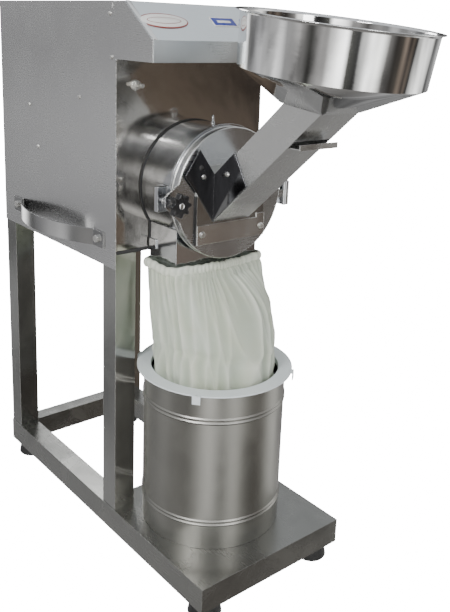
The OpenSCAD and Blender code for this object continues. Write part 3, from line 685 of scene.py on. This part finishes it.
@dataclass
class Sleeve:
    """The cloth sleeve: gathered round the outlet duct, loose in the collecting drum."""

    top: float = 597.0
    cinch: float = 592.0
    foot: float = 350.0
    duct_half_width: float = 103.0
    duct_half_depth: float = 46.5
    duct_squareness: int = 8
    duct_y: float = -50.5
    can_x: float = -7.0
    can_y: float = -106.0
    drift_end: float = 396.0
    loose_radius: float = 129.0
    hem_gap: float = 12.0
    hem_swell: float = 6.0
    hem_height: float = 14.0
    opening_height: float = 90.0
    sag_z: float = 438.0
    sag_depth: float = 3.4
    ridges: int = 13
    ridge_share: float = 0.72
    crossings: int = 9
    crossing_share: float = 0.38
    gathers: int = 29
    gather_share: float = 0.55
    fold_middle: float = 0.72
    tight_fold: float = 2.0
    loose_fold: float = 8.5
    casing_gap: float = 11.5
    casing_half_height: float = 9.5
    casing_columns: int = 360
    puckers: int = 31
    columns: int = 432
    rows: int = 60
    frames: int = 22
    held_above: float = 8.0
    held_below: float = 6.0
    most_travel: float = 0.006
    ring_z: float = 412.0
    ring_gap_radius: float = 0.1285

    def point(self, angle: float, height: float) -> Vector:
        """Gives a point of the sleeve before it settles.

        Args:
            angle: The angle round the sleeve.
            height: The height over the base in millimetres.

        Returns:
            The point in the frame.
        """
        down = self.cinch - height
        fall = min(1.0, max(0.0, down / (self.cinch - self.drift_end)))
        drift = math.sin(fall * math.pi / 2) ** 0.95
        centre_x = self.can_x * drift
        centre_y = self.duct_y + (self.can_y - self.duct_y) * drift
        hem = self.box_radius(angle) + self.hem_gap
        hem += self.hem_swell * min(1.0, max(0.0, down / self.hem_height))
        opened = min(1.0, max(0.0, (self.cinch - 4 - height) / self.opening_height))
        opened = opened * (2 - opened)
        radius = hem + (self.loose_radius - hem) * opened
        below = (height - self.sag_z - 12 * math.sin(2 * angle + 0.6)) / 6.0
        sag = self.sag_depth * math.exp(-below ** 2)
        swing = self.tight_fold + self.loose_fold * eased(down / self.hem_height)
        radius += swing * (self.fold(angle, height) - self.fold_middle) - sag
        return at(centre_x + radius * math.cos(angle), centre_y + radius * math.sin(angle), height)

    def fold(self, angle: float, height: float) -> float:
        """Gives how far a point stands on a fold: 0 in a valley, 1 on a ridge.

        Args:
            angle: The angle round the sleeve.
            height: The height over the base in millimetres.

        Returns:
            The share between valley and ridge.
        """
        down = self.cinch - height
        warp = angle + 0.13 * math.sin(3 * angle + 1.3) + 0.06 * math.sin(7 * angle + 2.1)
        lower = eased((442.0 + 10 * math.sin(2 * angle) - height) / 26.0)
        upper = eased((height - 505.0) / 80.0)
        swell = 0.72 + 0.28 * math.sin(5 * warp + 2.0)
        turn = self.ridges * warp + 0.9 * math.sin(2 * angle) + down * 0.004 + 0.8 * lower
        ridge = 1 - abs(math.sin(turn)) ** 0.75
        cross = 1 - abs(math.sin(self.crossings * warp - down * 0.017 + 1.2)) ** 0.6
        gather = 1 - abs(math.sin(self.gathers * warp + 0.8 * math.sin(4 * angle))) ** 0.8
        total = self.ridge_share * swell * ridge * (1 - 0.35 * upper)
        total += self.crossing_share * cross * (1 - upper)
        total += self.gather_share * gather * upper
        return min(1.0, total)

    def box_radius(self, angle: float) -> float:
        """Gives the reach of the duct's rounded outline at an angle, in millimetres."""
        power = self.duct_squareness
        across = abs(math.cos(angle) / self.duct_half_width) ** power
        return (across + abs(math.sin(angle) / self.duct_half_depth) ** power) ** (-1 / power)

    def lay_out(self) -> bmesh.types.BMesh:
        """Shapes a plain tube and lays the UV map along it in metres."""
        bm, layer, depth = cloth_tube(self.columns, self.rows - 2)
        girth, length = math.tau * self.loose_radius * MM, (self.top - self.foot) * MM
        for face in bm.faces:
            middle = face.calc_center_median()
            centre = math.atan2(middle.y, middle.x)
            for loop in face.loops:
                angle = math.atan2(loop.vert.co.y, loop.vert.co.x)
                angle -= math.tau * round((angle - centre) / math.tau)
                loop[layer].uv = (angle / math.tau * girth, (loop.vert.co.z + 0.5) * length)
        for vert in bm.verts:
            angle = math.atan2(vert.co.y, vert.co.x)
            height = self.foot + (vert.co.z + 0.5) * (self.top - self.foot)
            # The fold share is kept on the points; the cloth material uses it for painted shade in each
            # fold's valley.
            vert[depth] = self.fold(angle, height)
            vert.co = self.point(angle, height)
        bmesh.ops.recalc_face_normals(bm, faces=bm.faces)
        return bm

    def settle(self, piece: bpy.types.Object) -> None:
        """Lets the cloth buckle and sag between its held ends, and keeps the result.

        Args:
            piece: The sleeve, whose mesh takes the settled places.
        """
        held = piece.vertex_groups.new(name="held")
        start = [v.co.copy() for v in piece.data.vertices]
        top, foot = at(0, 0, self.cinch - self.held_above).z, at(0, 0, self.foot + self.held_below).z
        held.add([i for i, co in enumerate(start) if co.z > top or co.z < foot], 1.0, "REPLACE")
        drape = piece.modifiers.new("drape", "CLOTH")
        cloth = drape.settings
        cloth.quality = 5
        cloth.mass = 0.12
        cloth.tension_stiffness = 12.0
        cloth.compression_stiffness = 12.0
        cloth.shear_stiffness = 4.0
        cloth.bending_stiffness = 0.6
        cloth.air_damping = 3.0
        cloth.shrink_min = -0.03
        cloth.vertex_group_mass = held.name
        cloth.effector_weights.gravity = 0.6
        drape.point_cache.frame_end = self.frames
        scene = bpy.context.scene
        for number in range(1, self.frames + 1):
            scene.frame_set(number)
        settled = piece.evaluated_get(bpy.context.evaluated_depsgraph_get()).to_mesh()
        axis = at(self.can_x, self.can_y, 0)
        ring_high = at(0, 0, self.ring_z).z
        moved = []
        for before, vert in zip(start, settled.vertices):
            travel = vert.co - before
            if travel.length > self.most_travel:
                travel = travel.normalized() * self.most_travel
            spot = before + travel
            out = Vector((spot.x - axis.x, spot.y - axis.y))
            if spot.z < ring_high and out.length > self.ring_gap_radius:
                out = out.normalized() * self.ring_gap_radius
                spot = Vector((axis.x + out.x, axis.y + out.y, spot.z))
            moved.append(spot)
        furthest = max((b - a).length for a, b in zip(start, moved))
        log.info("cloth moved up to %.1f mm", furthest / MM)
        piece.evaluated_get(bpy.context.evaluated_depsgraph_get()).to_mesh_clear()
        piece.modifiers.remove(drape)
        piece.vertex_groups.clear()
        scene.frame_set(1)
        for vert, spot in zip(piece.data.vertices, moved):
            vert.co = spot

    def elastic(self) -> bpy.types.Object:
        """Makes the stitched casing of the elastic, puckered round the duct."""
        bm, layer, depth = cloth_tube(self.casing_columns, 9)
        for face in bm.faces:
            for loop in face.loops:
                spot = loop.vert.co
                loop[layer].uv = (math.atan2(spot.y, spot.x) * 0.12, spot.z * 0.012)
        for vert in bm.verts:
            angle = math.atan2(vert.co.y, vert.co.x)
            rise = vert.co.z * 2
            pucker = abs(math.sin(self.puckers * angle + 1.5 * math.sin(5 * angle))) ** 0.7
            belly = math.sqrt(max(0.0, 1 - rise * rise))
            # The pucker share is kept on the points for the cloth's painted shade between puckers.
            vert[depth] = 0.25 + 0.6 * pucker
            radius = self.box_radius(angle) + self.casing_gap + (4.5 + 3.4 * pucker) * belly
            lift = self.casing_half_height * rise + 0.9 * math.sin(9 * angle)
            lift += 0.8 * math.sin(self.puckers * angle)
            vert.co = at(radius * math.cos(angle), self.duct_y + radius * math.sin(angle),
                         self.cinch + lift)
        bmesh.ops.recalc_face_normals(bm, faces=bm.faces)
        band = make_piece("sleeve_elastic", bm, Finishes.CLOTH, "root", ("bag_band",),
                          60.0)
        band.modifiers.new("cloth", "SOLIDIFY").thickness = 0.001
        return band

    def build(self) -> None:
        piece = make_piece("cloth_sleeve", self.lay_out(), Finishes.CLOTH, "root",
                           ("bag",), 75.0)
        self.settle(piece)
        piece.modifiers.new("cloth", "SOLIDIFY").thickness = 0.0008
        band = self.elastic()
        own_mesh(piece)


@dataclass
class HoodTrim:
    """The plain plates on the hood's slope, and its bright folded side edges.

    BADGE and LABEL hold each layer's name, its half sizes, its finish and its two heights
    over the sheet.
    """

    BADGE: ClassVar[tuple] = (
        ("badge_rim", (52.0, 21.0), Finishes.MAROON, (0.1, 1.2)),
        ("badge_field", (49.5, 18.6), Finishes.WHITE, (0.6, 1.5)),
        ("badge_inner_line", (37.0, 9.4), Finishes.MAROON, (1.3, 1.65)),
        ("badge_centre", (35.6, 8.2), Finishes.WHITE, (1.4, 1.8)))
    LABEL: ClassVar[tuple] = (
        ("label_border", (29.0, 13.5), Finishes.WHITE, (0.1, 0.9)),
        ("label_field", (26.5, 11.0), Finishes.NAVY, (0.5, 1.3)),
        ("label_bar", (16.0, 3.4), Finishes.WHITE, (1.0, 1.5)))

    fold_y: float = -120.0
    fold_z: float = 1026.0
    top_y: float = -31.0
    top_z: float = 1091.0
    half_width: float = 178.5
    badge_x: float = -127.0
    label_x: float = 12.0

    def slope(self, x: float, share: float) -> Matrix:
        """Gives the place on the slope at x and a share of its length, Z out of the sheet."""
        foot, head = at(x, self.fold_y, self.fold_z), at(x, self.top_y, self.top_z)
        up = (head - foot).normalized()
        turn = Matrix((Vector((1, 0, 0)), up, Vector((1, 0, 0)).cross(up))).transposed().to_4x4()
        return Matrix.Translation(foot.lerp(head, share)) @ turn

    def oval(self, half_width: float, half_height: float, low: float,
             high: float) -> bmesh.types.BMesh:
        """Makes a flat oval plate between two heights over the sheet."""
        bm = bmesh.new()
        bmesh.ops.create_circle(bm, cap_ends=True, segments=72, radius=1.0)
        bmesh.ops.scale(bm, vec=(half_width * MM, half_height * MM, 1.0), verts=bm.verts)
        bmesh.ops.translate(bm, vec=(0, 0, low * MM), verts=bm.verts)
        raised = bmesh.ops.extrude_face_region(bm, geom=list(bm.faces))["geom"]
        bmesh.ops.translate(bm, vec=(0, 0, (high - low) * MM),
                            verts=[v for v in raised if isinstance(v, bmesh.types.BMVert)])
        bmesh.ops.recalc_face_normals(bm, faces=bm.faces)
        soften(bm, 0.0003, 2, 1.0)
        return bm

    def build(self) -> None:
        """Builds the oval badge, the square plate and the folded edges."""
        badge = self.slope(self.badge_x, 0.49)
        for name, half, finish, stack in self.BADGE:
            plate = self.oval(*half, *stack)
            bmesh.ops.transform(plate, matrix=badge, verts=plate.verts)
            swap = ("name_plates",) if name == "badge_rim" else ()
            make_piece(name, plate, finish, "root", swap)
        label = self.slope(self.label_x, 0.52)
        for name, (across, along), finish, (under, over) in self.LABEL:
            low = Vector((-across * MM, -along * MM, under * MM))
            plate = bar(low, Vector((across * MM, along * MM, over * MM)), 0.0003)
            bmesh.ops.transform(plate, matrix=label, verts=plate.verts)
            make_piece(name, plate, finish, "root")
        length = (at(0, self.top_y, self.top_z) - at(0, self.fold_y, self.fold_z)).length
        for side, name in ((-1, "left"), (1, "right")):
            edge = bar(Vector((-0.0045, -length / 2, -0.0005)),
                       Vector((0.0045, length / 2, 0.0013)), 0.0005)
            place = self.slope(side * (self.half_width - 4.0), 0.5)
            bmesh.ops.transform(edge, matrix=place, verts=edge.verts)
            make_piece(f"hood_fold_{name}", edge, Finishes.STRIP, "root")


@dataclass
class SheetDetails:
    """Spot welds, a dark strip of painted shadow under the front panel's bottom fold, the door's pressed
    rims and a dark strip of painted shade along the edge of its plate.
    """

    weld_radius: float = 2.6
    panel_x: float = 180.05
    door_radius: float = 127.0
    door_z: float = 741.0
    bead_swell: float = 1.3
    welds: tuple[tuple[float, float], ...] = (
        *((-112.0 + 15.5 * i, 996.0) for i in range(8)),
        *((-113.0 + 9.5 * i, 1016.0 + 8.1 * i) for i in range(9)),
        (6.0, 602.0), (18.0, 596.0), (30.0, 592.0))

    def weld_marks(self, side: int, name: str) -> None:
        """Sinks one small round mark for each weld of a side panel."""
        marks = bmesh.new()
        for y, z in self.welds:
            disc = bmesh.new()
            bmesh.ops.create_circle(disc, cap_ends=True, segments=20, radius=self.weld_radius * MM)
            for width, depth in ((0.0007, 0.00025), (0.0006, -0.0004)):
                bmesh.ops.inset_region(disc, faces=[f for f in disc.faces if len(f.verts) > 4],
                                       thickness=width, depth=depth, use_even_offset=True)
            turn = Matrix.Rotation(side * math.pi / 2, 4, "Y")
            place = Matrix.Translation(at(side * self.panel_x, y, z)) @ turn
            bmesh.ops.transform(disc, matrix=place, verts=disc.verts)
            join_into(marks, disc)
        make_piece(f"spot_welds_{name}", marks, Finishes.SIDE, "root")

    def door_rim(self, name: str, low: float, high: float) -> None:
        """Makes one pressed bead round the door between two distances ahead of the panel."""
        middle, half = (low + high) / 2, (high - low) / 2
        edge = self.door_radius
        bulge = [(edge + self.bead_swell * math.sin(step * math.pi / 6),
                  middle - half * math.cos(step * math.pi / 6)) for step in range(7)]
        bead = spun([(edge - 0.5, low), *bulge, (edge - 0.5, high)], 144)
        place = Matrix.Translation(at(0, 0, self.door_z)) @ Matrix.Rotation(math.pi / 2, 4, "X")
        bmesh.ops.transform(bead, matrix=place, verts=bead.verts)
        make_piece(name, bead, Finishes.STRIP, "door", fold=50.0)

    def build(self) -> None:
        """Builds all the small details."""
        self.weld_marks(-1, "left")
        self.weld_marks(1, "right")
        # Painted shadow: a dark strip where the front panel's bottom fold lies in shade.
        panel_fold_shadow_strip = bar(at(-178.3, -4.4, 614.5), at(178.3, -1.3, 621.0), 0.0010)
        make_piece("front_panel_painted_fold_shadow", panel_fold_shadow_strip, Finishes.RUBBER, "root")
        self.door_rim("door_bead_front", 123.6, 127.9)
        self.door_rim("door_bead_back", 107.0, 111.0)
        # Painted shade: a dark strip down the left side of the door's raised plate, whose thin edge lies in
        # shade.
        plate_edge_shade_strip = bar(at(-86.4, -132.3, 650.0), at(-84.0, -127.5, 744.0), 0.0005)
        make_piece("plate_edge_painted_shade", plate_edge_shade_strip, Finishes.RUBBER, "door")


@dataclass
class Studio:
    """The camera, the soft lights, the room that metal mirrors and the pale floor.

    BANDS holds the room's upright bands: the degrees round from X towards Y, then the light's
    red, green and blue. CAPS holds the tones overhead and underfoot, and the heights between
    which each comes in.
    """

    BAND_STRENGTH: ClassVar[float] = 3.5
    SEEN_WHITE: ClassVar[float] = 20.0
    SOFT_LIGHT: ClassVar[float] = 0.60
    FLOOR_GLOW: ClassVar[float] = 24.0
    FLOOR_SIZE: ClassVar[float] = 14.0
    CAPS: ClassVar[tuple] = (
        ((0.26, 0.27, 0.28), 0.30, 0.75), ((0.075, 0.073, 0.07), -0.45, -0.80))
    BANDS: ClassVar[tuple[tuple[float, float, float, float], ...]] = (
        (-180, 0.5, 0.49, 0.48), (-168, 0.08, 0.08, 0.075), (-152, 0.5, 0.49, 0.48), (-140, 2.8, 2.8, 2.75),
        (-131, 3.3, 3.3, 3.25), (-124, 0.12, 0.12, 0.11), (-110, 0.05, 0.05, 0.05), (-100, 2.7, 2.7, 2.65),
        (-90, 2.5, 2.5, 2.4), (-80, 0.3, 0.29, 0.28), (-68, 0.06, 0.055, 0.05), (-60, 0.09, 0.08, 0.07),
        (-54, 0.26, 0.21, 0.17), (-49, 0.07, 0.06, 0.055), (-44, 0.17, 0.14, 0.115), (-38, 0.05, 0.05, 0.05),
        (-29, 1.7, 1.7, 1.65), (-14, 2.0, 2.0, 1.95), (-2, 0.15, 0.15, 0.15), (22, 0.6, 0.6, 0.6),
        (42, 0.08, 0.08, 0.08), (58, 0.4, 0.4, 0.4), (74, 0.10, 0.10, 0.10), (84, 2.4, 2.4, 2.4),
        (94, 2.2, 2.2, 2.2), (104, 0.3, 0.3, 0.3), (122, 0.48, 0.48, 0.49), (140, 0.62, 0.62, 0.62),
        (152, 1.0, 1.0, 1.0), (164, 0.3, 0.3, 0.3), (179.9, 0.5, 0.49, 0.48))

    spot: tuple[float, float, float] = (-957.05, -1256.54, 1053.88)
    yaw: float = math.radians(39.94)
    pitch: float = math.radians(13.878)
    roll: float = math.radians(2.131)
    focal_length: float = 786.38
    frame_height: float = 612.0
    axis_rise: float = 86.0

    def camera(self) -> None:
        """Places the camera and makes it the scene's."""
        data = bpy.data.cameras.new("view")
        data.sensor_width = 36.0
        data.lens = self.focal_length * data.sensor_width / self.frame_height
        data.shift_y = -self.axis_rise / self.frame_height
        camera = bpy.data.objects.new("view", data)
        flat = math.cos(self.pitch)
        ahead = Vector((math.sin(self.yaw) * flat, math.cos(self.yaw) * flat, -math.sin(self.pitch)))
        level = Vector((math.cos(self.yaw), -math.sin(self.yaw), 0.0))
        upright = level.cross(ahead)
        right = level * math.cos(self.roll) + upright * math.sin(self.roll)
        up = upright * math.cos(self.roll) - level * math.sin(self.roll)
        turn = Matrix((right, up, -ahead)).transposed().to_4x4()
        camera.matrix_world = Matrix.Translation(at(*self.spot)) @ turn
        bpy.context.collection.objects.link(camera)
        bpy.context.scene.camera = camera

    def lamp(self, name: str, spot: tuple[float, float, float], size: tuple[float, float],
             power: float) -> None:
        """Hangs a soft box at a place in metres, aimed at the middle of the machine."""
        data = bpy.data.lights.new(name, "AREA")
        data.shape = "RECTANGLE"
        data.size, data.size_y = size
        data.energy = power
        lamp = bpy.data.objects.new(name, data)
        lamp.location = spot
        aim = Vector((0.0, 0.0, 0.6)) - Vector(spot)
        lamp.rotation_euler = aim.to_track_quat("-Z", "Y").to_euler()
        bpy.context.collection.objects.link(lamp)

    def surroundings(self) -> None:
        """Makes a white studio that metal mirrors as streaked upright bands, pale and dark."""
        world = bpy.data.worlds.new("studio")
        world.use_nodes = True
        bpy.context.scene.world = world
        world.node_tree.nodes.clear()
        bench = Bench(world.node_tree)
        place = bench.add("TexCoord")
        split = bench.add("SeparateXYZ")
        bench.join(place.outputs["Generated"], split.inputs[0])
        turn = bench.math("ARCTAN2", split.outputs["Y"], split.outputs["X"])
        noise = bench.add("TexNoise")
        noise.inputs["Scale"].default_value = 2.4
        bench.join(place.outputs["Generated"], noise.inputs["Vector"])
        wobble = bench.math("MULTIPLY", bench.math("SUBTRACT", noise.outputs["Fac"], 0.5), 0.05)
        bands = bench.add("ValToRGB")
        round_room = bench.spread(turn, 0.0, 1.0, -math.pi, math.pi)
        bench.join(bench.math("ADD", round_room, wobble), bands.inputs["Fac"])
        stops = bands.color_ramp.elements
        for number, (degrees, *light) in enumerate(self.BANDS):
            position = (degrees + 180.0) / 360.0
            stop = stops[0] if number == 0 else stops.new(position)
            stop.position = position
            stop.color = (*(part / self.BAND_STRENGTH for part in light), 1.0)
        stops.remove(stops[len(stops) - 1])
        stretch = bench.add("Mapping")
        stretch.inputs["Scale"].default_value = (1.3, 1.3, 7.0)
        bench.join(place.outputs["Generated"], stretch.inputs["Vector"])
        layers = bench.add("TexNoise")
        layers.inputs["Scale"].default_value = 1.6
        bench.join(stretch.outputs["Vector"], layers.inputs["Vector"])
        streaks = bench.add("VectorMath", operation="SCALE")
        bench.join(bands.outputs["Color"], streaks.inputs[0])
        bench.join(bench.spread(layers.outputs["Fac"], 0.5, 1.5), streaks.inputs["Scale"])
        colour = streaks.outputs["Vector"]
        for tone, start, end in self.CAPS:
            share = bench.spread(split.outputs["Z"], 0.0, 1.0, start, end)
            colour = bench.cover(share, colour, tone)
        room = bench.add("Background")
        room.inputs["Strength"].default_value = self.BAND_STRENGTH
        bench.join(colour, room.inputs["Color"])
        paper = bench.add("Background")
        paper.inputs["Color"].default_value = (1, 1, 1, 1)
        path = bench.add("LightPath")
        white = bench.spread(path.outputs["Is Camera Ray"], self.SOFT_LIGHT, self.SEEN_WHITE, 0.0, 1.0)
        bench.join(white, paper.inputs["Strength"])
        pick = bench.add("MixShader")
        bench.join(path.outputs["Is Glossy Ray"], pick.inputs["Fac"])
        bench.join(paper.outputs["Background"], pick.inputs[1])
        bench.join(room.outputs["Background"], pick.inputs[2])
        result = bench.add("OutputWorld")
        bench.join(pick.outputs["Shader"], result.inputs["Surface"])

    def floor(self) -> None:
        """Lays the pale floor, which metal doesn't mirror."""
        bm = bmesh.new()
        bmesh.ops.create_grid(bm, x_segments=2, y_segments=2, size=self.FLOOR_SIZE)
        bmesh.ops.translate(bm, vec=(0, 0, FLOOR_Z - 0.0005), verts=bm.verts)
        mesh = bpy.data.meshes.new("floor")
        bm.to_mesh(mesh)
        bm.free()
        material, bench, shader = new_material("pale_floor")
        marks = EFFECTS.place(bench, EFFECTS.cloudy_marks(), Scale=1.5)
        pale = bench.blend(marks.outputs["Mask"], (0.90, 0.90, 0.90), (0.93, 0.93, 0.93))
        bench.join(pale, shader.inputs["Base Color"])
        shader.inputs["Roughness"].default_value = 0.9
        glow = bench.add("Emission")
        glow.inputs["Strength"].default_value = self.FLOOR_GLOW
        bench.join(pale, glow.inputs["Color"])
        pick = bench.add("MixShader")
        seen = bench.add("LightPath").outputs["Is Camera Ray"]
        bench.join(bench.math("MULTIPLY", seen, 0.8), pick.inputs["Fac"])
        bench.join(shader.outputs["BSDF"], pick.inputs[1])
        bench.join(glow.outputs["Emission"], pick.inputs[2])
        bench.join(pick.outputs["Shader"], material.node_tree.nodes["Material Output"].inputs["Surface"])
        mesh.materials.append(material)
        floor = bpy.data.objects.new("floor", mesh)
        floor.visible_glossy = False
        bpy.context.collection.objects.link(floor)

    def build(self) -> None:
        """Sets up the whole studio."""
        self.camera()
        self.surroundings()
        self.lamp("key", (-2.6, -1.0, 2.6), (0.9, 1.2), 65.0)
        self.lamp("fill", (-0.4, -3.4, 1.7), (0.8, 1.8), 26.0)
        self.lamp("back", (0.6, 2.8, 2.6), (2.0, 0.8), 40.0)
        self.floor()


def main() -> None:
    """Builds the studio, dresses the frame and adds the modelled pieces."""
    logging.basicConfig(level=logging.INFO)
    Studio().build()
    dress_nodes()
    for part in (Hopper(), StarKnob(), HoodTrim(), SheetDetails(), Sleeve()):
        part.build()


if __name__ == "__main__":
    main()
